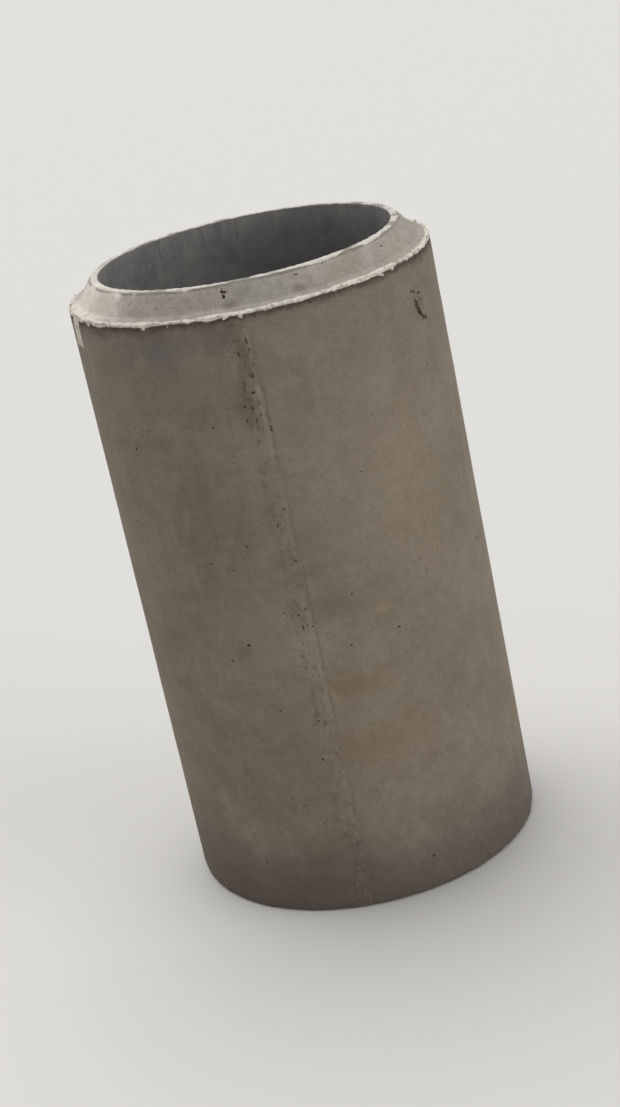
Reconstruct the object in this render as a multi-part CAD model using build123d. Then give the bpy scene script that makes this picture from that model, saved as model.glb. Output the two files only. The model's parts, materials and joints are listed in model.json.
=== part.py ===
from build123d import *
import math
import os

# Plain concrete sewer pipe, in millimetres. It is cast in one piece, so it is one solid.
# The pipe stands on its socket end. The origin is the centre of that end and +Z runs
# up along the bore to the spigot end.

# Barrel
bore_diameter = 450.0
wall = 55.0
overall_length = 1000.0

# Spigot: a shoulder on the outer wall's top edge, then a tapered nose up to a flat rim
nose_length = 36.0
shoulder_width = 18.0
shoulder_rise = 4.0
rim_width = 12.0

# Socket: a recess in the bottom end that takes the nose of the next pipe
joint_clearance = 5.0
joint_gap = 7.0
seat_gap = 3.0
seat_rise = 2.0

# Worn edges
shoulder_edge_radius = 7.0
shoulder_root_radius = 4.0
rim_outer_radius = 4.0
rim_inner_radius = 3.0
lip_outer_radius = 3.0
lip_inner_radius = 2.0
seat_root_radius = 4.0
seat_edge_radius = 3.0

# Worked out from the values above
bore_r = bore_diameter / 2
barrel_r = bore_r + wall
rim_r = bore_r + rim_width
nose_root_r = barrel_r - shoulder_width
shoulder_z = overall_length - nose_length
nose_root_z = shoulder_z + shoulder_rise
socket_mouth_r = nose_root_r + joint_clearance
seat_r = rim_r + joint_clearance
seat_z = nose_length - joint_gap + seat_gap


def wall_section():
    """Half of the pipe's lengthwise section, as corners that go once round the wall."""
    corners = [
        # radius, height, worn edge
        (socket_mouth_r, 0, lip_inner_radius),
        (barrel_r, 0, lip_outer_radius),
        (barrel_r, shoulder_z, shoulder_edge_radius),
        (nose_root_r, nose_root_z, shoulder_root_radius),
        (rim_r, overall_length, rim_outer_radius),
        (bore_r, overall_length, rim_inner_radius),
        (bore_r, seat_z + seat_rise, seat_edge_radius),
        (seat_r, seat_z, seat_root_radius),
    ]
    points = [(radius, height) for radius, height, worn in corners]
    rounds = [worn for radius, height, worn in corners]
    with BuildSketch(Plane.XZ) as section:
        with BuildLine():
            FilletPolyline(*points, radius=rounds, close=True)
        make_face()
    return section.sketch


def cast_pipe():
    """The section turned once round the bore's axis."""
    return revolve(wall_section(), axis=Axis.Z)


pipe = cast_pipe()
os.makedirs("parts", exist_ok=True)
export_step(pipe, "parts/pipe.step")

barrel_area = math.pi * (barrel_r**2 - bore_r**2)
print(f"pipe: {pipe.volume / 1e9:.5f} m3, plain barrel {barrel_area * overall_length / 1e9:.5f} m3")
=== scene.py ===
import json
import math
import random

import bmesh
import bpy
from mathutils import Matrix, Vector

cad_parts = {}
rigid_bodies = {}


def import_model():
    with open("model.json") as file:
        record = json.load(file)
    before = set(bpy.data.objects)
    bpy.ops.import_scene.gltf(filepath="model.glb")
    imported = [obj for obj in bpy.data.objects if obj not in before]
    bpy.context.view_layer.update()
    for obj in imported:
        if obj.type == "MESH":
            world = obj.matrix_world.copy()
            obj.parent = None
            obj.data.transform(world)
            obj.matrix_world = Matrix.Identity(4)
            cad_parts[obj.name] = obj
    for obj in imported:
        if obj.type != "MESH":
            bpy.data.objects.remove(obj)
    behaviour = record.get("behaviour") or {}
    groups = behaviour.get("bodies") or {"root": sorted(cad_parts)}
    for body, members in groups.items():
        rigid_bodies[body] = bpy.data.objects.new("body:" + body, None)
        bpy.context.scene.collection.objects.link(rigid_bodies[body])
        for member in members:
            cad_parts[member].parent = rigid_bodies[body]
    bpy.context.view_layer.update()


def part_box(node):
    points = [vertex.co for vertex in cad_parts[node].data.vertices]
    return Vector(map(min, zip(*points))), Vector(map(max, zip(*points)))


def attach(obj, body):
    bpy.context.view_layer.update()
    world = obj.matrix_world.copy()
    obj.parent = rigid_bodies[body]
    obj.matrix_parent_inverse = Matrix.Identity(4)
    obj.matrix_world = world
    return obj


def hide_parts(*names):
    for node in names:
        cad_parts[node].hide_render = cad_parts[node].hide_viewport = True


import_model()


# Camera
# It stands where the photograph was taken from, which the outlines of the pipe's two ends give.
# It is rolled so that the pipe leans to the left by as much as it does in the photograph.
camera_distance = 3.18
camera_height = 1.65
camera_aim = Vector((0.0, 0.0, 0.49))
camera_lean = math.radians(12.2)
camera_lens = 69.0

bpy.ops.object.select_all(action="DESELECT")
camera_place = Vector((0.0, -camera_distance, camera_height))
looking = (camera_aim - camera_place).to_track_quat("-Z", "Y").to_matrix().to_4x4()
camera_turn = (looking @ Matrix.Rotation(-camera_lean, 4, "Z")).to_euler()
bpy.ops.object.camera_add(location=camera_place, rotation=camera_turn)
camera = bpy.context.object
camera.name = "camera"
camera.data.lens = camera_lens
camera.data.sensor_width = 36.0
camera.data.clip_start = 0.05
camera.data.clip_end = 300.0
bpy.context.scene.camera = camera


# Pipe
# One concrete casting: a plain barrel, a tapered nose on its top end and a recess for the next
# pipe's nose in its foot. It was cast on end between a two-part steel mould and a steel core.
pipe_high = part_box("pipe")[1]
length = pipe_high[2]
outer_radius = pipe_high[0] - 0.0010
bore_radius = 0.225
segments = 320

# Its section, as corners that go once round the wall: radius, height and the reach of the worn
# edge. The small steps in the barrel are the line where two rings of the mould met.
mould_ring = 0.829
shoulder = 0.964
section = [
    (0.2670, 0.0000, 0.0020),
    (outer_radius, 0.0000, 0.0030),
    (outer_radius, mould_ring - 0.0040, 0.0),
    (outer_radius - 0.0005, mould_ring - 0.0010, 0.0),
    (outer_radius + 0.0003, mould_ring + 0.0012, 0.0),
    (outer_radius, mould_ring + 0.0050, 0.0),
    (outer_radius, shoulder, 0.0056),
    (0.2620, 0.9680, 0.0022),
    (0.2370, length, 0.0016),
    (bore_radius, length, 0.0030),
    (bore_radius, 0.0340, 0.0028),
    (0.2420, 0.0320, 0.0020),
]


def ring_radius(point):
    return math.hypot(point.x, point.y)


def heading(point):
    """Degrees round the pipe from the camera's side, to the right."""
    return math.degrees(math.atan2(point.x, -point.y))


# Lengths that differ by less than a few hairs count as the same.
hair = 1e-6


def is_ring(a, b):
    """True for an edge that runs round the pipe, not along its section."""
    return abs(a.z - b.z) < hair and abs(ring_radius(a) - ring_radius(b)) < hair


def choose_edges(piece, wanted):
    """In edit mode, select the edges that wanted(start, end) picks, and nothing else."""
    bpy.ops.mesh.select_all(action="DESELECT")
    mesh = bmesh.from_edit_mesh(piece.data)
    for edge in mesh.edges:
        if wanted(edge.verts[0].co, edge.verts[1].co):
            edge.select = True
    bmesh.update_edit_mesh(piece.data)


def choose_piece(piece):
    """Make one piece the only one selected."""
    bpy.ops.object.select_all(action="DESELECT")
    piece.select_set(True)
    bpy.context.view_layer.objects.active = piece


bpy.ops.object.select_all(action="DESELECT")
bpy.ops.mesh.primitive_circle_add(vertices=segments, radius=section[0][0], fill_type="NOTHING")
pipe = bpy.context.object
pipe.name = "concrete_pipe"
bpy.ops.object.mode_set(mode="EDIT")
bpy.ops.mesh.select_mode(type="EDGE")
bpy.ops.mesh.select_all(action="SELECT")
at_radius, at_height = section[0][:2]
for radius, height, worn in section[1:]:
    bpy.ops.mesh.extrude_region_move(TRANSFORM_OT_translate={"value": (0, 0, height - at_height)})
    widen = radius / at_radius
    bpy.ops.transform.resize(value=(widen, widen, 1))
    at_radius, at_height = radius, height

# The last ring is joined to the first, which closes the wall.
mesh = bmesh.from_edit_mesh(pipe.data)
for edge in mesh.edges:
    edge.select = edge.is_boundary
bmesh.update_edit_mesh(pipe.data)
bpy.ops.mesh.bridge_edge_loops()
bpy.ops.mesh.select_all(action="SELECT")
bpy.ops.mesh.normals_make_consistent(inside=False)

# The corners that have worn are rounded.
for radius, height, worn in section:
    if worn:
        choose_edges(pipe, lambda a, b: is_ring(a, b) and abs(a.z - height) < 10 * hair
                     and abs(ring_radius(a) - radius) < 10 * hair)
        bpy.ops.mesh.bevel(offset=worn, segments=4, affect="EDGES")

# The long bands are cut into rows short enough to carry the wear: the range of radius, the range
# of height and the longest row.
bands = [
    (0.2700, 0.2800, 0.0025, 0.9585, 0.0112),
    (0.2240, 0.2260, 0.0360, 0.9975, 0.0450),
    (0.2610, 0.2800, 0.9583, 0.9690, 0.0028),
    (0.2340, 0.2620, 0.9680, 0.9990, 0.0045),
    (0.2360, 0.2410, 0.9955, 0.9990, 0.0016),
    (0.2250, 0.2370, 0.9960, 1.0001, 0.0040),
    (0.2240, 0.2790, -0.001, 0.0360, 0.0075),
]
for inner, outer, low, high, longest in bands:

    def along_band(a, b):
        middle = (a + b) / 2
        return not is_ring(a, b) and inner <= ring_radius(middle) <= outer and low <= middle.z <= high

    mesh = bmesh.from_edit_mesh(pipe.data)
    ends = [(edge.verts[0].co, edge.verts[1].co) for edge in mesh.edges]
    rows = sorted({round((a - b).length, 5) for a, b in ends if along_band(a, b)})
    for row in rows:
        cuts = math.ceil(row / longest) - 1
        if cuts > 0:
            choose_edges(pipe, lambda a, b: along_band(a, b) and abs((a - b).length - row) < 20 * hair)
            bpy.ops.mesh.subdivide(number_cuts=cuts)

# The spigot's edges carry the finest wear, so its rings get twice as many points.
choose_edges(pipe, lambda a, b: is_ring(a, b) and a.z > 0.955 and ring_radius(a) > 0.2255)
bpy.ops.mesh.subdivide(number_cuts=1)

# Two halves of the mould met along the front and the back. The columns of faces there are cut
# finer, to carry the ridge and the groove that the joint left.
seam_headings = (-4.0, 176.0)


def from_seam(point):
    """Signed distance round the wall to the nearer seam."""
    turns = [(heading(point) - seam + 180) % 360 - 180 for seam in seam_headings]
    return math.radians(min(turns, key=abs)) * outer_radius


choose_edges(pipe, lambda a, b: is_ring(a, b) and ring_radius(a) > 0.275 and a.z < 0.957
             and max(abs(from_seam(a)), abs(from_seam(b))) < 0.0140)
bpy.ops.mesh.subdivide(number_cuts=2)
bpy.ops.object.mode_set(mode="OBJECT")

concrete = bpy.data.materials.new("cast concrete")
# The finish in the air holes is dusty and painted darker as shade.
hole_dust_and_shade = bpy.data.materials.new("dusty concrete in the air holes, painted dark as shade")
broken_flash = bpy.data.materials.new("broken concrete flash")
finishes = (concrete, hole_dust_and_shade, broken_flash)
for finish in finishes:
    finish.use_nodes = True
    pipe.data.materials.append(finish)


# The wear that is too large for a grain in the finish is pressed into the mesh.
def ramp(value, start, end):
    """Rises smoothly from 0 at start to 1 at end."""
    share = min(1.0, max(0.0, (value - start) / (end - start)))
    return share * share * (3 - 2 * share)


def weigh(piece, name, weight):
    """A vertex group whose weights come from each point's place."""
    group = piece.vertex_groups.new(name=name)
    for vertex in piece.data.vertices:
        amount = weight(vertex.co)
        if amount > 0.001:
            group.add([vertex.index], min(1.0, amount), "REPLACE")


def press(piece, group, name, lump_size, travel, middle=0.5, direction="NORMAL", depth=2,
          stretch=(1, 1, 1), shift=0.0):
    """Move a group of points in and out by a cloudy texture with lumps of this size."""
    texture = bpy.data.textures.new(name, "CLOUDS")
    texture.noise_scale = lump_size
    texture.noise_depth = depth
    bpy.ops.object.empty_add(location=(shift, 2 * shift, 3 * shift))
    grid = bpy.context.object
    grid.scale = stretch
    bpy.context.view_layer.update()
    choose_piece(piece)
    wear = piece.modifiers.new(name, "DISPLACE")
    wear.texture = texture
    wear.texture_coords = "OBJECT"
    wear.texture_coords_object = grid
    wear.strength = travel
    wear.mid_level = middle
    wear.direction = direction
    wear.vertex_group = group
    bpy.ops.object.modifier_apply(modifier=name)
    bpy.data.objects.remove(grid)


def on_barrel(p):
    return ramp(ring_radius(p), 0.272, 0.276) * ramp(p.z, 0.004, 0.030) * ramp(p.z, 0.957, 0.930)


weigh(pipe, "barrel", on_barrel)
weigh(pipe, "shoulder", lambda p: ramp(ring_radius(p), 0.264, 0.272) * ramp(p.z, 0.952, 0.958))
weigh(pipe, "nose", lambda p: ramp(ring_radius(p), 0.2275, 0.234) * ramp(p.z, 0.966, 0.974))
weigh(pipe, "rim", lambda p: ramp(p.z, 0.995, 0.999))
weigh(pipe, "under_rim", lambda p: (ramp(ring_radius(p), 0.2345, 0.2365) * ramp(p.z, 0.9935, 0.9960)
                                    * ramp(p.z, 0.9985, 0.9970)))
weigh(pipe, "lip", lambda p: ramp(p.z, 0.012, 0.002) * ramp(ring_radius(p), 0.262, 0.270))
weigh(pipe, "recess", lambda p: ramp(p.z, 0.040, 0.034) * ramp(ring_radius(p), 0.270, 0.266))
weigh(pipe, "bore", lambda p: (ramp(ring_radius(p), 0.2275, 0.2255) * ramp(p.z, 0.040, 0.080)
                               * ramp(p.z, 0.995, 0.970)))
weigh(pipe, "ridge", lambda p: ramp(abs(from_seam(p) + 0.0030), 0.0036, 0.0) * on_barrel(p))
weigh(pipe, "groove", lambda p: ramp(abs(from_seam(p) - 0.0040), 0.0036, 0.0) * on_barrel(p))

# The steel mould was rolled from plate, so the barrel bows a little and is faintly ringed.
press(pipe, "barrel", "rolled plate", 0.160, 0.0006)
press(pipe, "barrel", "plate rings", 0.030, 0.0004, depth=1, stretch=(9, 9, 1))
press(pipe, "bore", "core rings", 0.035, 0.0008, depth=1, stretch=(9, 9, 1))
press(pipe, "nose", "scraped streaks", 0.016, 0.0010, 0.6, stretch=(1, 1, 7))
press(pipe, "shoulder", "shoulder wear", 0.011, 0.0034, 0.66, depth=3)
press(pipe, "rim", "rim wear", 0.009, 0.0022, 0.95, depth=3)
press(pipe, "under_rim", "line under the rim", 0.012, 0.0018, 0.85)
press(pipe, "lip", "lip wear", 0.014, 0.0050, 0.98, depth=3)
press(pipe, "recess", "recess wear", 0.012, 0.0016, 0.9, depth=3)
press(pipe, "ridge", "seam ridge", 0.022, 0.0013, 0.40, depth=3, stretch=(1, 1, 2.5))
press(pipe, "groove", "seam groove", 0.018, 0.0018, 0.66, depth=3, stretch=(1, 1, 2))

# Rough lumps of about unit size, for crumbs of mortar and for cutting holes
random.seed(4)


def rough_lump(name, number, wear):
    """A ball pressed out of round, then brought back to a radius of one."""
    bpy.ops.object.select_all(action="DESELECT")
    bpy.ops.mesh.primitive_ico_sphere_add(subdivisions=2, radius=1.0)
    lump = bpy.context.object
    lump.name = name
    weigh(lump, "all", lambda p: 1.0)
    press(lump, "all", name, 0.9, wear, shift=number * 3.7)
    reach = max(vertex.co.length for vertex in lump.data.vertices)
    bpy.ops.object.mode_set(mode="EDIT")
    bpy.ops.mesh.select_all(action="SELECT")
    bpy.ops.transform.resize(value=(1 / reach,) * 3, center_override=(0, 0, 0))
    bpy.ops.mesh.normals_make_consistent(inside=False)
    bpy.ops.object.mode_set(mode="OBJECT")
    return lump


crumb_shapes = [rough_lump(f"crumb_{i}", i + 1, 1.3) for i in range(4)]
hole_shapes = [rough_lump(f"hole_{i}", i + 11, 1.4) for i in range(6)]


def on_wall(angle, height, radius, turn=0.0, size=(2.0, 2.0, 1.0)):
    """Where a lump goes: its width across, its height and its depth, turned about the way out."""
    a = math.radians(angle)
    out = Vector((math.sin(a), -math.cos(a), 0))
    twist = Matrix.Rotation(math.radians(turn), 3, out)
    place = Matrix.Translation(out * radius + Vector((0, 0, height)))
    columns = (twist @ Vector((math.cos(a), math.sin(a), 0)) * size[0] / 2,
               twist @ Vector((0, 0, 1)) * size[1] / 2, out * size[2])
    for column, axis in enumerate(columns):
        for row in range(3):
            place[row][column] = axis[row]
    return place


# The points are sorted by their distance from this place, which no two of them share.
sorting_place = (0.71, 1.37, 2.11)
bpy.context.scene.cursor.location = sorting_place


def carve(tool, operation, finish):
    """Join a tool to the pipe or cut it out, then take the tool away."""
    tool.data.materials.clear()
    for material in finishes:
        tool.data.materials.append(material)
    for face in tool.data.polygons:
        face.material_index = finishes.index(finish)
    choose_piece(pipe)
    cut = pipe.modifiers.new("cut", "BOOLEAN")
    cut.object = tool
    cut.operation = operation
    cut.solver = "MANIFOLD"
    bpy.ops.object.modifier_apply(modifier=cut.name)
    bpy.data.objects.remove(tool)

    # The cut leaves the points in any order, so they are sorted, for the same result each run.
    bpy.ops.object.mode_set(mode="EDIT")
    bpy.ops.mesh.select_all(action="SELECT")
    bpy.ops.mesh.sort_elements(type="CURSOR_DISTANCE", elements={"VERT", "EDGE", "FACE"})
    bpy.ops.object.mode_set(mode="OBJECT")


def carve_lumps(shapes, places, operation, finish):
    """Join on or cut out a copy of a lump at each place. Copies that touch go in turns, because
    one tool may not cross itself."""
    turns = []
    for place in places:
        centre, reach = place.translation, max(place.col[i].xyz.length for i in range(3))
        for spots in turns:
            if all((centre - other).length > reach + far for other, far, _ in spots):
                break
        else:
            spots = []
            turns.append(spots)
        spots.append((centre, reach, place))
    for spots in turns:
        copies = []
        for centre, reach, place in spots:
            shape = random.choice(shapes)
            copy = shape.copy()
            copy.data = shape.data.copy()
            copy.data.transform(place)
            bpy.context.collection.objects.link(copy)
            copies.append(copy)
        bpy.ops.object.select_all(action="DESELECT")
        for copy in copies:
            copy.select_set(True)
        bpy.context.view_layer.objects.active = copies[0]
        if len(copies) > 1:
            bpy.ops.object.join()
        carve(bpy.context.object, operation, finish)


# Mortar was squeezed out between the mould and the ring that shaped the spigot. It was broken
# off when the mould came away, and a ragged edge of it stayed, with crumbs and drips.
bpy.ops.object.select_all(action="DESELECT")
bpy.ops.mesh.primitive_torus_add(major_radius=0.2765, minor_radius=0.0023, major_segments=1000,
                                 minor_segments=8, location=(0, 0, 0.9622))
flash = bpy.context.object
flash.name = "flash"
bpy.ops.object.transform_apply(location=True, rotation=False, scale=False)
weigh(flash, "all", lambda p: 1.0)
press(flash, "all", "flash lumps", 0.0060, 0.0062, 0.54)
press(flash, "all", "flash rise", 0.026, 0.0080, 0.55, direction="Z")
press(flash, "all", "flash bows", 0.020, 0.0040, 0.53)
press(flash, "all", "flash grit", 0.0022, 0.0014, 0.50, depth=1)
# Its pale finish is partly a painted highlight along the shoulder's edge.
carve(flash, "UNION", broken_flash)

# Drips that show in the photograph: angle, top, how many lumps and their width
drips = (
    (-36.2, 0.9590, 2, 0.012),
    (41.2, 0.9585, 2, 0.010),
    (46.0, 0.9585, 1, 0.008),
    (-62.0, 0.9600, 2, 0.014),
    (-9.3, 0.9595, 1, 0.012),
    (-5.5, 0.9590, 2, 0.010),
)
drip_radius = 0.2785
drip_step = 0.0022
crumbs = []
for angle, top, count, width in drips:
    for i in range(count):
        size = (width * (1.1 - 0.35 * i), 0.0056, 0.0014)
        crumbs.append(on_wall(angle + random.uniform(-0.6, 0.6), top - i * drip_step, drip_radius,
                              random.uniform(-30, 30), size))

crumb_count = 130
for i in range(crumb_count):
    width = random.uniform(0.003, 0.009)
    crumbs.append(on_wall(random.uniform(-180, 180), random.uniform(0.9575, 0.9645),
                          random.uniform(0.2755, 0.2778), random.uniform(-40, 40),
                          (width, random.uniform(0.003, 0.006), random.uniform(0.0012, 0.0024))))
carve_lumps(crumb_shapes, crumbs, "UNION", broken_flash)

# Edges chipped in handling: along the foot, and round both edges of the rim
foot_chip_count = 30
rim_chip_count = 16
rim_edges = (0.2262, 0.2362)
chips = []
for i in range(foot_chip_count):
    width = random.uniform(0.007, 0.022)
    chips.append(on_wall(random.uniform(-180, 180), random.uniform(-0.001, 0.002), outer_radius,
                         random.uniform(-15, 15), (width, width * random.uniform(0.35, 0.6), width * 0.25)))
for i in range(rim_chip_count):
    width = random.uniform(0.004, 0.009)
    chips.append(on_wall(random.uniform(-180, 180), length, random.choice(rim_edges),
                         random.uniform(-15, 15), (width, width * 0.35, width * 0.25)))
carve_lumps(hole_shapes, chips, "DIFFERENCE", concrete)

# Air trapped against the mould left small holes, and the mould tore the skin where it stuck.
# These are the ones that show in the photograph: angle, height, width, height of the hole,
# depth and turn.
holes = []
seen_holes = (
    (53.5, 0.9140, 0.007, 0.006, 0.0040, 35),
    (54.9, 0.9120, 0.009, 0.005, 0.0040, -20),
    (57.6, 0.906, 0.011, 0.005, 0.0038, -10),
    (58.6, 0.895, 0.005, 0.005, 0.0020, 0),
    (-5.0, 0.923, 0.004, 0.014, 0.0025, 0),
    (-8.1, 0.905, 0.005, 0.009, 0.0020, 10),
    (-5.6, 0.871, 0.009, 0.012, 0.0035, 0),
    (-8.2, 0.861, 0.004, 0.006, 0.0020, 0),
    (-6.4, 0.846, 0.010, 0.005, 0.0025, 8),
    (-9.6, 0.828, 0.008, 0.006, 0.0020, 0),
    (-7.6, 0.824, 0.006, 0.009, 0.0025, 0),
    (-9.8, 0.806, 0.003, 0.012, 0.0020, 0),
    (-7.0, 0.804, 0.003, 0.010, 0.0020, 0),
    (-3.4, 0.790, 0.006, 0.012, 0.0030, 0),
    (-7.5, 0.500, 0.005, 0.004, 0.0020, 0),
    (-6.7, 0.480, 0.004, 0.010, 0.0025, 5),
    (-11.5, 0.507, 0.003, 0.004, 0.0020, 0),
    (-25.0, 0.461, 0.008, 0.006, 0.0025, 0),
    (22.4, 0.441, 0.007, 0.006, 0.0025, 0),
    (24.6, 0.433, 0.004, 0.003, 0.0020, 0),
    (-20.4, 0.804, 0.005, 0.004, 0.0020, 0),
    (-31.8, 0.435, 0.005, 0.005, 0.0020, 0),
    (6.5, 0.436, 0.004, 0.006, 0.0020, 0),
)
for angle, height, width, tall, depth, turn in seen_holes:
    holes.append(on_wall(angle, height, outer_radius, turn, (width, tall, depth)))


def tear(points, width, depth):
    """Holes that run into each other along a line of points, as where the skin was dragged."""
    for (angle, height), (next_angle, next_height) in zip(points[:-1], points[1:]):
        across = math.radians(next_angle - angle) * outer_radius
        rise = next_height - height
        steps = max(1, round(math.hypot(across, rise) / (width * 0.55)))
        lie = math.degrees(math.atan2(-across, rise))
        for step in range(steps):
            share = (step + random.uniform(0.3, 0.7)) / steps
            wide = width * random.uniform(0.65, 1.15)
            turn = lie + random.uniform(-25, 25)
            size = (wide, wide * 1.5, depth * random.uniform(0.7, 1.2))
            holes.append(on_wall(angle + share * (next_angle - angle), height + share * rise,
                                 outer_radius, turn, size))


# The long tear under the spigot, on the right
tear(((54.9, 0.897), (55.4, 0.887), (56.4, 0.877), (57.9, 0.868), (59.8, 0.865)), 0.0115, 0.0062)

# Patches where the mould tore the skin in many short strokes. Each has its middle, the slope of
# its strokes and their number.
torn = (
    (104.0, 0.700, 0.5, 12),
    (-131.0, 0.640, -0.35, 10),
    (152.0, 0.560, 0.9, 6),
    (-92.0, 0.300, 0.6, 8),
    (-162.0, 0.190, -0.3, 5),
)
for middle, level, slope, strokes in torn:
    for i in range(strokes):
        left, at = middle + random.gauss(0, 4.2), level + random.gauss(0, 0.016)
        reach = random.uniform(0.3, 3.0)
        rise = math.radians(reach) * outer_radius * (slope + random.uniform(-0.6, 0.6))
        tear(((left, at), (left + reach, at + rise)), random.uniform(0.0022, 0.0056), 0.0024)


def is_clear(angle, height, gap):
    """True where a hole would not touch one that is there already, or one that shows."""
    centre = on_wall(angle, height, outer_radius).translation
    return all((centre - hole.translation).length > gap for hole in holes)


# A porous strip beside the seam, clusters, and single holes, each with its angle, height, width and
# how tall it is for its width
upper_strip_count = 30
lower_strip_count = 24
cluster_count = 13
single_count = 90
hole_gap = 0.009
strays = []
for seam in seam_headings:
    for i in range(upper_strip_count):
        strays.append((seam + random.uniform(-6.5, 2.0), random.uniform(0.775, 0.950),
                       0.0018 + 0.0022 * random.random() ** 2, random.uniform(1.2, 2.6)))
    for i in range(lower_strip_count):
        strays.append((seam + random.uniform(-5.5, 2.0), random.uniform(0.06, 0.76),
                       0.0016 + 0.0020 * random.random() ** 2, random.uniform(1.0, 2.2)))
for i in range(cluster_count):
    middle, level = random.uniform(20, 345), random.uniform(0.08, 0.90)
    for j in range(random.randint(3, 6)):
        strays.append((middle + random.gauss(0, 3.0), level + random.gauss(0, 0.014),
                       random.uniform(0.0022, 0.0046), random.uniform(0.6, 1.0)))
for i in range(single_count):
    strays.append((random.uniform(-180, 180), random.uniform(0.02, 0.945),
                   0.0022 + 0.0050 * random.random() ** 3, random.uniform(0.6, 1.0)))
for angle, height, width, slender in strays:
    if is_clear(angle, height, hole_gap):
        holes.append(on_wall(angle, height, outer_radius, random.uniform(-12, 12),
                             (width, width * slender, width * random.uniform(0.35, 0.7))))


def nose_radius(height):
    """The outer radius of the nose, which tapers up to the rim."""
    return 0.2604 - (height - 0.970) * 0.78


# On the nose: a notch made of three holes, two scratches and a few small holes. In the bore: a few
# holes. Each mark has its angle, height, turn and size.
nose_marks = (
    (-10.3, 0.9895, 10, (0.0060, 0.0100, 0.0035)),
    (-9.4, 0.9885, -15, (0.0065, 0.0085, 0.0030)),
    (-9.8, 0.9835, 5, (0.0065, 0.0100, 0.0040)),
    (51.8, 0.9860, 40, (0.0036, 0.0120, 0.0018)),
    (15.0, 0.9900, 75, (0.0026, 0.0120, 0.0014)),
)
nose_hole_count = 26
bore_hole_count = 36
for angle, height, turn, size in nose_marks:
    holes.append(on_wall(angle, height, nose_radius(height), turn, size))
for i in range(nose_hole_count):
    rise = random.uniform(0.972, 0.995)
    width = random.uniform(0.0020, 0.0042)
    holes.append(on_wall(random.uniform(-180, 180), rise, nose_radius(rise), random.uniform(-90, 90),
                         (width, width * 0.8, width * 0.5)))
for i in range(bore_hole_count):
    width = 0.0025 + 0.0060 * random.random() ** 3
    holes.append(on_wall(random.uniform(-180, 180), random.uniform(0.06, 0.97), bore_radius,
                         random.uniform(-90, 90), (width, width * 0.8, width * 0.5)))
carve_lumps(hole_shapes, holes, "DIFFERENCE", hole_dust_and_shade)
for shape in crumb_shapes + hole_shapes:
    bpy.data.objects.remove(shape)

# The cutting leaves slivers a few thousandths of a millimetre wide. They are merged, the faces
# that this spoils are made again, and whatever hangs free of the casting is deleted.
sliver = 0.000005
most_rounds = 12
choose_piece(pipe)
bpy.ops.object.mode_set(mode="EDIT")
for cleaning in range(most_rounds):
    bpy.ops.mesh.select_mode(type="VERT")
    bpy.ops.mesh.select_all(action="SELECT")
    bpy.ops.mesh.remove_doubles(threshold=sliver)
    bpy.ops.mesh.select_all(action="SELECT")
    bpy.ops.mesh.dissolve_degenerate(threshold=sliver)
    bpy.ops.mesh.select_mode(type="FACE")
    bpy.ops.mesh.select_all(action="DESELECT")
    bpy.ops.mesh.select_face_by_sides(number=4, type="GREATER", extend=False)
    bpy.ops.mesh.quads_convert_to_tris(quad_method="BEAUTY", ngon_method="BEAUTY")
    bpy.ops.mesh.select_mode(type="VERT")

    # A point that only two faces share lies in the line between them, and it would spoil the
    # triangles that they are cut into.
    bpy.ops.mesh.select_all(action="DESELECT")
    mesh = bmesh.from_edit_mesh(pipe.data)
    for vertex in mesh.verts:
        vertex.select = len(vertex.link_edges) == 2
    bmesh.update_edit_mesh(pipe.data)
    bpy.ops.mesh.dissolve_verts()

    # The wall is sound once every edge joins two faces.
    bpy.ops.mesh.select_all(action="DESELECT")
    bpy.ops.mesh.select_non_manifold(extend=False)
    mesh = bmesh.from_edit_mesh(pipe.data)
    if not any(vertex.select for vertex in mesh.verts):
        break
    bpy.ops.mesh.delete(type="VERT")
    bpy.ops.mesh.select_all(action="DESELECT")
    bpy.ops.mesh.select_non_manifold(extend=False)
    bpy.ops.mesh.fill_holes(sides=0)
    bpy.ops.mesh.select_all(action="SELECT")
    bpy.ops.mesh.delete_loose(use_verts=True, use_edges=True, use_faces=False)
bpy.ops.mesh.select_all(action="DESELECT")
mesh = bmesh.from_edit_mesh(pipe.data)
min(mesh.verts, key=lambda vertex: vertex.co.z).select = True
bmesh.update_edit_mesh(pipe.data)
bpy.ops.mesh.select_linked()
bpy.ops.mesh.select_all(action="INVERT")
bpy.ops.mesh.delete(type="VERT")
bpy.ops.object.mode_set(mode="OBJECT")
bpy.ops.object.shade_smooth_by_angle(angle=math.radians(35))


# Its finish. Colours are sRGB hex values as they look on the real surface.
def linear(hex_colour):
    """An sRGB hex colour as the linear colour that a shader takes."""
    channels = [int(hex_colour[i:i + 2], 16) / 255 for i in (1, 3, 5)]
    return [c / 12.92 if c <= 0.04045 else ((c + 0.055) / 1.055) ** 2.4 for c in channels] + [1.0]


def add(material, kind, sockets=None, **settings):
    """One node with its settings, and its sockets filled with values or other nodes' outputs."""
    tree = material.node_tree
    node = tree.nodes.new("ShaderNode" + kind)
    for name, value in settings.items():
        setattr(node, name, value)
    for socket, value in (sockets or {}).items():
        if isinstance(value, bpy.types.Node):
            value = next(output for output in value.outputs if output.enabled)
        if isinstance(value, bpy.types.NodeSocket):
            tree.links.new(value, node.inputs[socket])
        else:
            node.inputs[socket].default_value = value
    return node


# Cast concrete off a steel mould. The mould leaves a dense matt skin of cement, clouded where it
# dried unevenly, with the sand just showing and a few pinholes.
place = add(concrete, "TexCoord").outputs["Object"]
height = add(concrete, "SeparateXYZ", {0: place}).outputs["Z"]
across = add(concrete, "VectorMath", {0: place, 1: (1, 1, 0)}, operation="MULTIPLY")
radius_now = add(concrete, "VectorMath", {0: across}, operation="LENGTH").outputs["Value"]

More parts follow.
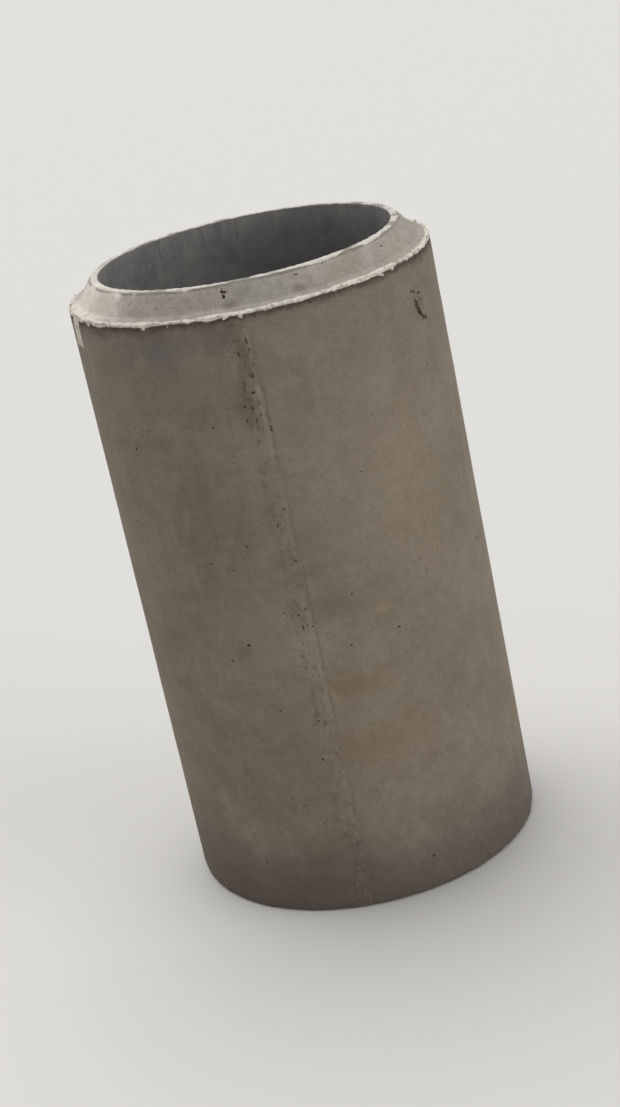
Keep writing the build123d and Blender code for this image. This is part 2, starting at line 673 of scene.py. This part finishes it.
# Patterns, each at the size it has on the wall
clouds = add(concrete, "TexNoise", {"Vector": place, "Scale": 1 / 0.210, "Detail": 3, "Roughness": 0.55,
                                    "Distortion": 0.6})
mottle = add(concrete, "TexNoise", {"Vector": place, "Scale": 1 / 0.048, "Detail": 5, "Roughness": 0.6,
                                    "Distortion": 0.3})
blotch = add(concrete, "TexNoise", {"Vector": place, "Scale": 1 / 0.110, "Detail": 7, "Roughness": 0.68})
lift_place = add(concrete, "Mapping", {"Vector": place, "Scale": (0.22, 0.22, 1)})
lifts = add(concrete, "TexNoise", {"Vector": lift_place, "Scale": 1 / 0.040, "Detail": 4, "Roughness": 0.6})
run_place = add(concrete, "Mapping", {"Vector": place, "Scale": (1, 1, 0.05)})
runs = add(concrete, "TexNoise", {"Vector": run_place, "Scale": 1 / 0.022, "Detail": 4, "Roughness": 0.6,
                                  "Distortion": 0.2})
# Sand is 0.5 to 2 mm across. It is drawn at 2.4 mm, as finer grains would not show.
sand = add(concrete, "TexNoise", {"Vector": place, "Scale": 1 / 0.0024, "Detail": 2, "Roughness": 0.6})
grit = add(concrete, "TexVoronoi", {"Vector": place, "Scale": 1 / 0.0046, "Randomness": 1.0})
pins = add(concrete, "TexVoronoi", {"Vector": place, "Scale": 1 / 0.021, "Randomness": 1.0})

# The barrel
cloud_share = add(concrete, "MapRange", {0: clouds, 1: 0.33, 2: 0.67}, interpolation_type="SMOOTHSTEP")
mottle_share = add(concrete, "MapRange", {0: mottle, 1: 0.30, 2: 0.70})
lift_share = add(concrete, "MapRange", {0: lifts, 1: 0.50, 2: 0.68, 4: 0.17}, interpolation_type="SMOOTHSTEP")
run_share = add(concrete, "MapRange", {0: runs, 1: 0.54, 2: 0.74, 4: 0.20}, interpolation_type="SMOOTHSTEP")
bloom_share = add(concrete, "MapRange", {0: blotch, 1: 0.56, 2: 0.68, 4: 0.24},
                  interpolation_type="SMOOTHSTEP")
barrel = add(concrete, "Mix", {0: cloud_share, 6: linear("#766b5d"), 7: linear("#807568")}, data_type="RGBA")
mottled = add(concrete, "Mix", {0: mottle_share, 6: linear("#685d50"), 7: linear("#8b8275")},
              data_type="RGBA")
barrel = add(concrete, "Mix", {0: 0.27, 6: barrel, 7: mottled}, data_type="RGBA")
barrel = add(concrete, "Mix", {0: lift_share, 6: barrel, 7: linear("#6a5f52")}, data_type="RGBA")
barrel = add(concrete, "Mix", {0: run_share, 6: barrel, 7: linear("#625a4f")}, data_type="RGBA")
barrel = add(concrete, "Mix", {0: bloom_share, 6: barrel, 7: linear("#938b7f")}, data_type="RGBA")

# Above the line of the mould ring the skin is a little cooler.
upper_share = add(concrete, "MapRange", {0: height, 1: 0.826, 2: 0.832, 4: 0.14},
                  interpolation_type="SMOOTHSTEP")
barrel = add(concrete, "Mix", {0: upper_share, 6: barrel, 7: linear("#6f6b64")}, data_type="RGBA")

# Stains, most of them seen in the photograph: angle, height, half width, half height, strength
# and colour
stains = [
    (18.0, 0.479, 0.015, 0.007, 0.34, "#a08a6e"),
    (5.0, 0.372, 0.060, 0.020, 0.34, "#765c40"),
    (0.6, 0.414, 0.018, 0.014, 0.30, "#6f7562"),
    (-31.4, 0.925, 0.060, 0.026, 0.50, "#5f6061"),
    (-14.0, 0.930, 0.030, 0.022, 0.50, "#5a564f"),
    (-6.5, 0.912, 0.010, 0.014, 0.50, "#54483c"),
    (-7.0, 0.880, 0.016, 0.060, 0.42, "#5a4e41"),
    (-8.0, 0.815, 0.022, 0.026, 0.50, "#54473a"),
    (56.0, 0.893, 0.016, 0.024, 0.40, "#594e41"),
    (-26.0, 0.450, 0.012, 0.010, 0.35, "#63513d"),
    (-27.0, 0.690, 0.050, 0.120, 0.25, "#63584d"),
    (34.0, 0.640, 0.070, 0.110, 0.30, "#8b7e6d"),
    (8.0, 0.270, 0.090, 0.050, 0.25, "#7d6c57"),
    (150.0, 0.420, 0.070, 0.030, 0.40, "#765c40"),
    (-112.0, 0.560, 0.050, 0.160, 0.35, "#5f564c"),
    (98.0, 0.300, 0.050, 0.050, 0.35, "#978c7d"),
    (176.0, 0.880, 0.020, 0.080, 0.35, "#5e5346"),
    (105.0, 0.702, 0.040, 0.026, 0.30, "#5c5144"),
    (-130.0, 0.638, 0.036, 0.024, 0.30, "#5c5144"),
    (-91.0, 0.302, 0.034, 0.022, 0.28, "#5c5144"),
]
patch_edge = add(concrete, "MapRange", {0: mottle, 1: 0.30, 2: 0.70, 3: -0.55, 4: 0.55})


def stain_or_highlight(under, angle, level, wall_radius, half_width, half_height, strength, colour):
    """Lay one ragged patch over a colour: a stain, and once a painted highlight on the nose."""
    centre = on_wall(angle, level, wall_radius).translation
    away = add(concrete, "VectorMath", {0: place, 1: centre}, operation="SUBTRACT")
    sized = add(concrete, "VectorMath", {0: away, 1: (1 / half_width, 1 / half_width, 1 / half_height)},
                operation="MULTIPLY")
    reach = add(concrete, "VectorMath", {0: sized}, operation="LENGTH").outputs["Value"]
    ragged = add(concrete, "Math", {0: reach, 1: patch_edge}, operation="ADD")
    share = add(concrete, "MapRange", {0: ragged, 1: 1.5, 2: 0.3, 4: strength},
                interpolation_type="SMOOTHSTEP")
    return add(concrete, "Mix", {0: share, 6: under, 7: linear(colour)}, data_type="RGBA")


for angle, level, half_width, half_height, strength, colour in stains:
    barrel = stain_or_highlight(barrel, angle, level, outer_radius, half_width, half_height, strength, colour)

# Darker towards the foot: dust and damp from the ground, and painted shade near the floor.
foot_noise = add(concrete, "MapRange", {0: blotch, 1: 0.3, 2: 0.7, 3: -0.04, 4: 0.04})
foot_height = add(concrete, "Math", {0: height, 1: foot_noise}, operation="ADD")
# The foot's dark band is partly dust and partly painted shade.
foot_dust_and_shade = add(concrete, "MapRange", {0: foot_height, 1: 0.170, 2: 0.020, 4: 0.78},
                 interpolation_type="SMOOTHSTEP")
barrel = add(concrete, "Mix", {0: foot_dust_and_shade, 6: barrel, 7: linear("#57524a")}, data_type="RGBA")
# Just under the flash, grime and a painted shadow of its overhang darken the top of the barrel.
under_flash_noise = add(concrete, "MapRange", {0: mottle, 1: 0.35, 2: 0.65, 3: -0.010, 4: 0.010})
under_flash_height = add(concrete, "Math", {0: height, 1: under_flash_noise}, operation="ADD")
grime_and_shadow_share = add(concrete, "MapRange", {0: under_flash_height, 1: 0.938, 2: 0.958, 4: 0.60},
                  interpolation_type="SMOOTHSTEP")
barrel = add(concrete, "Mix", {0: grime_and_shadow_share, 6: barrel, 7: linear("#4e463d")}, data_type="RGBA")

# The spigot was shaped by a steel ring and scraped, so it is faintly streaked. It is painted paler than the
# barrel, as painted light on its upward slope.
scrapes = add(concrete, "TexNoise", {"Vector": place, "Scale": 1 / 0.016, "Detail": 5, "Roughness": 0.7})
scrape_share = add(concrete, "MapRange", {0: scrapes, 1: 0.32, 2: 0.68})
nose = add(concrete, "Mix", {0: mottle_share, 6: linear("#847e75"), 7: linear("#9c958c")}, data_type="RGBA")
scraped = add(concrete, "Mix", {0: scrape_share, 6: linear("#736d65"), 7: linear("#aea79e")},
              data_type="RGBA")
nose = add(concrete, "Mix", {0: 0.30, 6: nose, 7: scraped}, data_type="RGBA")
nose = add(concrete, "Mix", {0: run_share, 6: nose, 7: linear("#746e66")}, data_type="RGBA")
# Stains on the nose. The large pale patch at -76 degrees, on its left, is a painted highlight where the light
# falls on that side.
nose_stains_and_highlight = (
    (4.0, 0.984, 0.050, 0.030, 0.38, "#82837f"),
    (-28.0, 0.984, 0.045, 0.030, 0.32, "#8a8380"),
    (31.0, 0.984, 0.045, 0.018, 0.45, "#8b8674"),
    (-76.0, 0.984, 0.110, 0.050, 0.88, "#d6cec3"),
    (-62.0, 0.984, 0.024, 0.016, 0.40, "#9c8c77"),
    (14.5, 0.973, 0.012, 0.007, 0.60, "#67605a"),
    (-8.5, 0.971, 0.016, 0.005, 0.55, "#6b6055"),
    (58.0, 0.980, 0.050, 0.014, 0.40, "#a3988a"),
    (120.0, 0.982, 0.040, 0.012, 0.40, "#827f70"),
    (-150.0, 0.980, 0.030, 0.014, 0.40, "#766c5f"),
    (175.0, 0.984, 0.060, 0.020, 0.40, "#a9a197"),
)
nose_middle = 0.2520
for angle, level, half_width, half_height, strength, colour in nose_stains_and_highlight:
    nose = stain_or_highlight(nose, angle, level, nose_middle, half_width, half_height, strength, colour)
edge_noise = add(concrete, "MapRange", {0: mottle, 1: 0.3, 2: 0.7, 3: -0.0030, 4: 0.0030})
edge_height = add(concrete, "Math", {0: height, 1: edge_noise}, operation="ADD")
edge_radius = add(concrete, "Math", {0: radius_now, 1: edge_noise}, operation="ADD")
spigot_share = add(concrete, "MapRange", {0: edge_height, 1: 0.9590, 2: 0.9625},
                   interpolation_type="SMOOTHSTEP")
# The pale band on the shoulder's outer edge and the pale top of the rim are painted highlights on the worn
# edges.
highlight_low = add(concrete, "MapRange", {0: edge_height, 1: 0.9590, 2: 0.9612}, interpolation_type="SMOOTHSTEP")
highlight_side = add(concrete, "MapRange", {0: edge_radius, 1: 0.2712, 2: 0.2756}, interpolation_type="SMOOTHSTEP")
rim_highlight = add(concrete, "MapRange", {0: edge_height, 1: 0.9975, 2: 0.9992}, interpolation_type="SMOOTHSTEP")
shoulder_highlight = add(concrete, "Math", {0: highlight_low, 1: highlight_side}, operation="MULTIPLY")

# Two dark lines: in runs under the flash, dirt and a painted shadow of its overhang; and under the rim's
# edge, a painted shadow of its lip.
run_line_place = add(concrete, "Mapping", {"Vector": place, "Scale": (1, 1, 0.6)})
run_line_noise = add(concrete, "TexNoise", {"Vector": run_line_place, "Scale": 1 / 0.010, "Detail": 5,
                                     "Roughness": 0.7})
run_line_reach = add(concrete, "MapRange", {0: run_line_noise, 1: 0.30, 2: 0.70, 3: -0.0045, 4: 0.0045})
dark_height = add(concrete, "Math", {0: height, 1: run_line_reach}, operation="ADD")
dark_low = add(concrete, "MapRange", {0: dark_height, 1: 0.9510, 2: 0.9575, 4: 0.78})
dark_high = add(concrete, "MapRange", {0: height, 1: 0.9605, 2: 0.9585}, interpolation_type="SMOOTHSTEP")
dirt_and_shadow_share = add(concrete, "Math", {0: dark_low, 1: dark_high}, operation="MULTIPLY")
# The runs under the flash are dirt and painted shadow.
barrel = add(concrete, "Mix", {0: dirt_and_shadow_share, 6: barrel, 7: linear("#40372e")}, data_type="RGBA")
# Under the rim's edge, a thin dark line is painted shadow of the rim's lip.
line_low = add(concrete, "MapRange", {0: height, 1: 0.9935, 2: 0.9955}, interpolation_type="SMOOTHSTEP")
line_high = add(concrete, "MapRange", {0: height, 1: 0.9985, 2: 0.9970}, interpolation_type="SMOOTHSTEP")
rim_shadow_line = add(concrete, "Math", {0: line_low, 1: line_high}, operation="MULTIPLY")
rim_shadow_shown = add(concrete, "MapRange", {0: mottle, 1: 0.36, 2: 0.56, 4: 0.60})
rim_shadow_line = add(concrete, "Math", {0: rim_shadow_line, 1: rim_shadow_shown}, operation="MULTIPLY")
nose = add(concrete, "Mix", {0: rim_shadow_line, 6: nose, 7: linear("#57524b")}, data_type="RGBA")
outside = add(concrete, "Mix", {0: spigot_share, 6: barrel, 7: nose}, data_type="RGBA")
# The painted highlights go on the shoulder's edge and the rim.
outside = add(concrete, "Mix", {0: shoulder_highlight, 6: outside, 7: linear("#cbc4b9")}, data_type="RGBA")
outside = add(concrete, "Mix", {0: rim_highlight, 6: outside, 7: linear("#bfbab2")}, data_type="RGBA")

# The bore came off the steel core. Its cooler, darker grey is painted shade, as little light reaches inside.
bore = add(concrete, "Mix", {0: mottle_share, 6: linear("#666665"), 7: linear("#7e7c78")}, data_type="RGBA")
bore = add(concrete, "Mix", {0: run_share, 6: bore, 7: linear("#555554")}, data_type="RGBA")
bore_share = add(concrete, "MapRange", {0: radius_now, 1: 0.2275, 2: 0.2258}, interpolation_type="SMOOTHSTEP")
skin = add(concrete, "Mix", {0: bore_share, 6: outside, 7: bore}, data_type="RGBA")

# The joint of the mould: a ridge with a groove beside it. The ridge is painted pale as a highlight and the
# groove dark as shade.
seam_way = on_wall(seam_headings[0], 0, 1.0).col[0].xyz
seam_side = add(concrete, "VectorMath", {0: place, 1: seam_way}, operation="DOT_PRODUCT").outputs["Value"]
depth_back = add(concrete, "SeparateXYZ", {0: place}).outputs["Y"]
seam_front = add(concrete, "MapRange", {0: depth_back, 1: 0.01, 2: -0.01, 3: -1.0, 4: 1.0})
seam_side = add(concrete, "Math", {0: seam_side, 1: seam_front}, operation="MULTIPLY")
seam_wander = add(concrete, "MapRange", {0: lifts, 1: 0.3, 2: 0.7, 3: -0.0012, 4: 0.0012})
seam_side = add(concrete, "Math", {0: seam_side, 1: seam_wander}, operation="ADD")
seam_low = add(concrete, "MapRange", {0: height, 1: 0.955, 2: 0.945})
seam_outside = add(concrete, "MapRange", {0: radius_now, 1: 0.2740, 2: 0.2765})
seam_high = add(concrete, "Math", {0: seam_low, 1: seam_outside}, operation="MULTIPLY")
seam_breaks = add(concrete, "MapRange", {0: mottle, 1: 0.43, 2: 0.64}, interpolation_type="SMOOTHSTEP")
seam_shown = add(concrete, "Math", {0: seam_high, 1: seam_breaks}, operation="MULTIPLY")

# The strip beside it is porous, so dirt has settled there in smears.
smear_place = add(concrete, "Mapping", {"Vector": place, "Scale": (1, 1, 0.5)})
smears = add(concrete, "TexNoise", {"Vector": smear_place, "Scale": 1 / 0.0075, "Detail": 4,
                                    "Roughness": 0.65})
strip_offset = add(concrete, "Math", {0: seam_side, 1: 0.012}, operation="ADD")
strip_gap = add(concrete, "Math", {0: strip_offset}, operation="ABSOLUTE")
strip = add(concrete, "MapRange", {0: strip_gap, 1: 0.022, 2: 0.007}, interpolation_type="SMOOTHSTEP")
strip = add(concrete, "Math", {0: strip, 1: seam_high}, operation="MULTIPLY")
for low, high, strength, colour in ((0.54, 0.66, 0.62, "#50463a"), (0.46, 0.34, 0.28, "#8e8578")):
    smear = add(concrete, "MapRange", {0: smears, 1: low, 2: high, 4: strength},
                interpolation_type="SMOOTHSTEP")
    share = add(concrete, "Math", {0: smear, 1: strip}, operation="MULTIPLY")
    skin = add(concrete, "Mix", {0: share, 6: skin, 7: linear(colour)}, data_type="RGBA")
# Pale painted highlight on the ridge and dark painted shade in the groove
ridge_highlight_and_groove_shade = ((-0.0030, 0.0030, 0.34, "#968d80"), (0.0040, 0.0026, 0.40, "#554b40"))
for middle, half_width, strength, colour in ridge_highlight_and_groove_shade:
    offset = add(concrete, "Math", {0: seam_side, 1: middle}, operation="SUBTRACT")
    gap = add(concrete, "Math", {0: offset}, operation="ABSOLUTE")
    line = add(concrete, "MapRange", {0: gap, 1: half_width, 2: half_width * 0.2, 4: strength},
               interpolation_type="SMOOTHSTEP")
    share = add(concrete, "Math", {0: line, 1: seam_shown}, operation="MULTIPLY")
    skin = add(concrete, "Mix", {0: share, 6: skin, 7: linear(colour)}, data_type="RGBA")

# Flecks in the cement, and sand grains, dark and light, just under the skin
flecks = add(concrete, "TexNoise", {"Vector": place, "Scale": 1 / 0.013, "Detail": 4, "Roughness": 0.6})
fleck_share = add(concrete, "MapRange", {0: flecks, 1: 0.3, 2: 0.7, 3: 0.93, 4: 1.07})
skin = add(concrete, "Mix", {0: 1.0, 6: skin, 7: fleck_share}, data_type="RGBA", blend_type="MULTIPLY")
sand_share = add(concrete, "MapRange", {0: sand, 1: 0.25, 2: 0.75, 3: 0.86, 4: 1.14})
skin = add(concrete, "Mix", {0: 1.0, 6: skin, 7: sand_share}, data_type="RGBA", blend_type="MULTIPLY")
grain_kind = add(concrete, "SeparateColor", {0: grit.outputs["Color"]}).outputs[0]
grain_size = add(concrete, "MapRange", {0: grit.outputs["Distance"], 1: 0.42, 2: 0.22})
dark_grain = add(concrete, "MapRange", {0: grain_kind, 1: 0.90, 2: 0.93, 4: 0.42})
dark_share = add(concrete, "Math", {0: dark_grain, 1: grain_size}, operation="MULTIPLY")
skin = add(concrete, "Mix", {0: dark_share, 6: skin, 7: linear("#544c42")}, data_type="RGBA")
pale_grain = add(concrete, "MapRange", {0: grain_kind, 1: 0.06, 2: 0.04, 4: 0.17})
pale_share = add(concrete, "Math", {0: pale_grain, 1: grain_size}, operation="MULTIPLY")
skin = add(concrete, "Mix", {0: pale_share, 6: skin, 7: linear("#a39b8e")}, data_type="RGBA")

# Pinholes, up to 2 mm across, drawn dark as painted shade inside them
pin_kind = add(concrete, "SeparateColor", {0: pins.outputs["Color"]}).outputs[0]
pin_reach = add(concrete, "MapRange", {0: pin_kind, 1: 0.62, 2: 1.0, 3: -0.02, 4: 0.055})
pin_depth = add(concrete, "Math", {0: pin_reach, 1: pins.outputs["Distance"]}, operation="SUBTRACT")
pin_shade_share = add(concrete, "MapRange", {0: pin_depth, 1: 0.0, 2: 0.03, 4: 0.8})
skin = add(concrete, "Mix", {0: pin_shade_share, 6: skin, 7: linear("#4a4239")}, data_type="RGBA")

# Relief, in millimetres: the sand, a soft unevenness, and the pinholes
relief = add(concrete, "MapRange", {0: sand, 1: 0.2, 2: 0.8, 3: 0.0, 4: 0.20})
uneven = add(concrete, "MapRange", {0: mottle, 1: 0.2, 2: 0.8, 3: 0.0, 4: 0.8})
relief = add(concrete, "Math", {0: relief, 1: uneven}, operation="ADD")
pin_drop = add(concrete, "MapRange", {0: pin_depth, 1: 0.0, 2: 0.04, 4: -0.8})
relief = add(concrete, "Math", {0: relief, 1: pin_drop}, operation="ADD")
grain_rise = add(concrete, "MapRange", {0: dark_share, 1: 0.0, 2: 0.5, 4: 0.12})
relief = add(concrete, "Math", {0: relief, 1: grain_rise}, operation="ADD")
bump = add(concrete, "Bump", {"Strength": 1.0, "Distance": 0.001, "Height": relief})
dry = add(concrete, "MapRange", {0: blotch, 1: 0.3, 2: 0.7, 3: 0.80, 4: 0.93})

surface = concrete.node_tree.nodes["Principled BSDF"]
surface.inputs["IOR"].default_value = 1.50
surface.inputs["Specular IOR Level"].default_value = 0.25
concrete.node_tree.links.new(skin.outputs[2], surface.inputs["Base Color"])
concrete.node_tree.links.new(dry.outputs[0], surface.inputs["Roughness"])
concrete.node_tree.links.new(bump.outputs[0], surface.inputs["Normal"])

# Inside the air holes dust has settled, and they are painted darker as shade in the holes. The flash broke
# off late, so its faces are fresh, and their pale tone is also a painted highlight along the shoulder's edge.
for material, dark, light, lump_size, rise in ((hole_dust_and_shade, "#443a30", "#695e51", 0.004, 0.6),
                                               (broken_flash, "#988f83", "#d2cbc0", 0.007, 1.2)):
    spot = add(material, "TexCoord").outputs["Object"]
    coarse = add(material, "TexNoise", {"Vector": spot, "Scale": 1 / lump_size, "Detail": 5,
                                        "Roughness": 0.68})
    share = add(material, "MapRange", {0: coarse, 1: 0.34, 2: 0.58})
    colour = add(material, "Mix", {0: share, 6: linear(dark), 7: linear(light)}, data_type="RGBA")
    lift = add(material, "Bump", {"Strength": rise, "Distance": 0.001, "Height": coarse})
    surface = material.node_tree.nodes["Principled BSDF"]
    surface.inputs["Roughness"].default_value = 0.92
    surface.inputs["Specular IOR Level"].default_value = 0.3
    material.node_tree.links.new(colour.outputs[2], surface.inputs["Base Color"])
    material.node_tree.links.new(lift.outputs[0], surface.inputs["Normal"])

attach(pipe, "root")
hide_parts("pipe")


# Floor
# A plain pale studio floor, wide enough to fill the picture behind the pipe.
bpy.ops.object.select_all(action="DESELECT")
bpy.ops.mesh.primitive_plane_add(size=160.0, location=(0, 0, 0))
floor = bpy.context.object
floor.name = "studio_floor"
matt_floor = bpy.data.materials.new("matt studio floor")
matt_floor.use_nodes = True
paint = matt_floor.node_tree.nodes["Principled BSDF"]
paint.inputs["Base Color"].default_value = linear("#cbc9c5")
paint.inputs["Roughness"].default_value = 0.95
paint.inputs["Specular IOR Level"].default_value = 0.1
floor.data.materials.append(matt_floor)


# Light
# A pale room all round, a broad soft light from high up behind on the left, and a weaker one
# from the front on the right. Both are very wide, so that their shadows have no hard edge.
world = bpy.data.worlds.new("studio")
bpy.context.scene.world = world
world.use_nodes = True
room = world.node_tree.nodes["Background"]
room.inputs["Color"].default_value = (1, 1, 1, 1)
room.inputs["Strength"].default_value = 0.46

# Past the floor's edge the camera and any reflection see a backdrop as pale as the floor.
ray = add(world, "LightPath")
seen = add(world, "Math", {0: ray.outputs["Is Camera Ray"], 1: ray.outputs["Is Glossy Ray"]},
           operation="MAXIMUM")
seen = add(world, "Math", {0: seen, 1: ray.outputs["Is Transmission Ray"]}, operation="MAXIMUM")
backdrop = add(world, "Background", {"Color": linear("#e0dfda"), "Strength": 1.0})
either = add(world, "MixShader", {0: seen, 1: room, 2: backdrop})
world.node_tree.links.new(either.outputs[0], world.node_tree.nodes["World Output"].inputs["Surface"])
for name, where, strength, spread in (("top_light", (-0.6, 1.6, 4.0), 2.3, 60),
                                      ("front_light", (3.6, -2.2, 1.5), 1.15, 55)):
    aim = -Vector(where)
    bpy.ops.object.light_add(type="SUN", location=where, rotation=aim.to_track_quat("-Z", "Y").to_euler())
    lamp = bpy.context.object
    lamp.name = name
    lamp.data.energy = strength
    lamp.data.angle = math.radians(spread)

bpy.context.scene.view_settings.view_transform = "Standard"
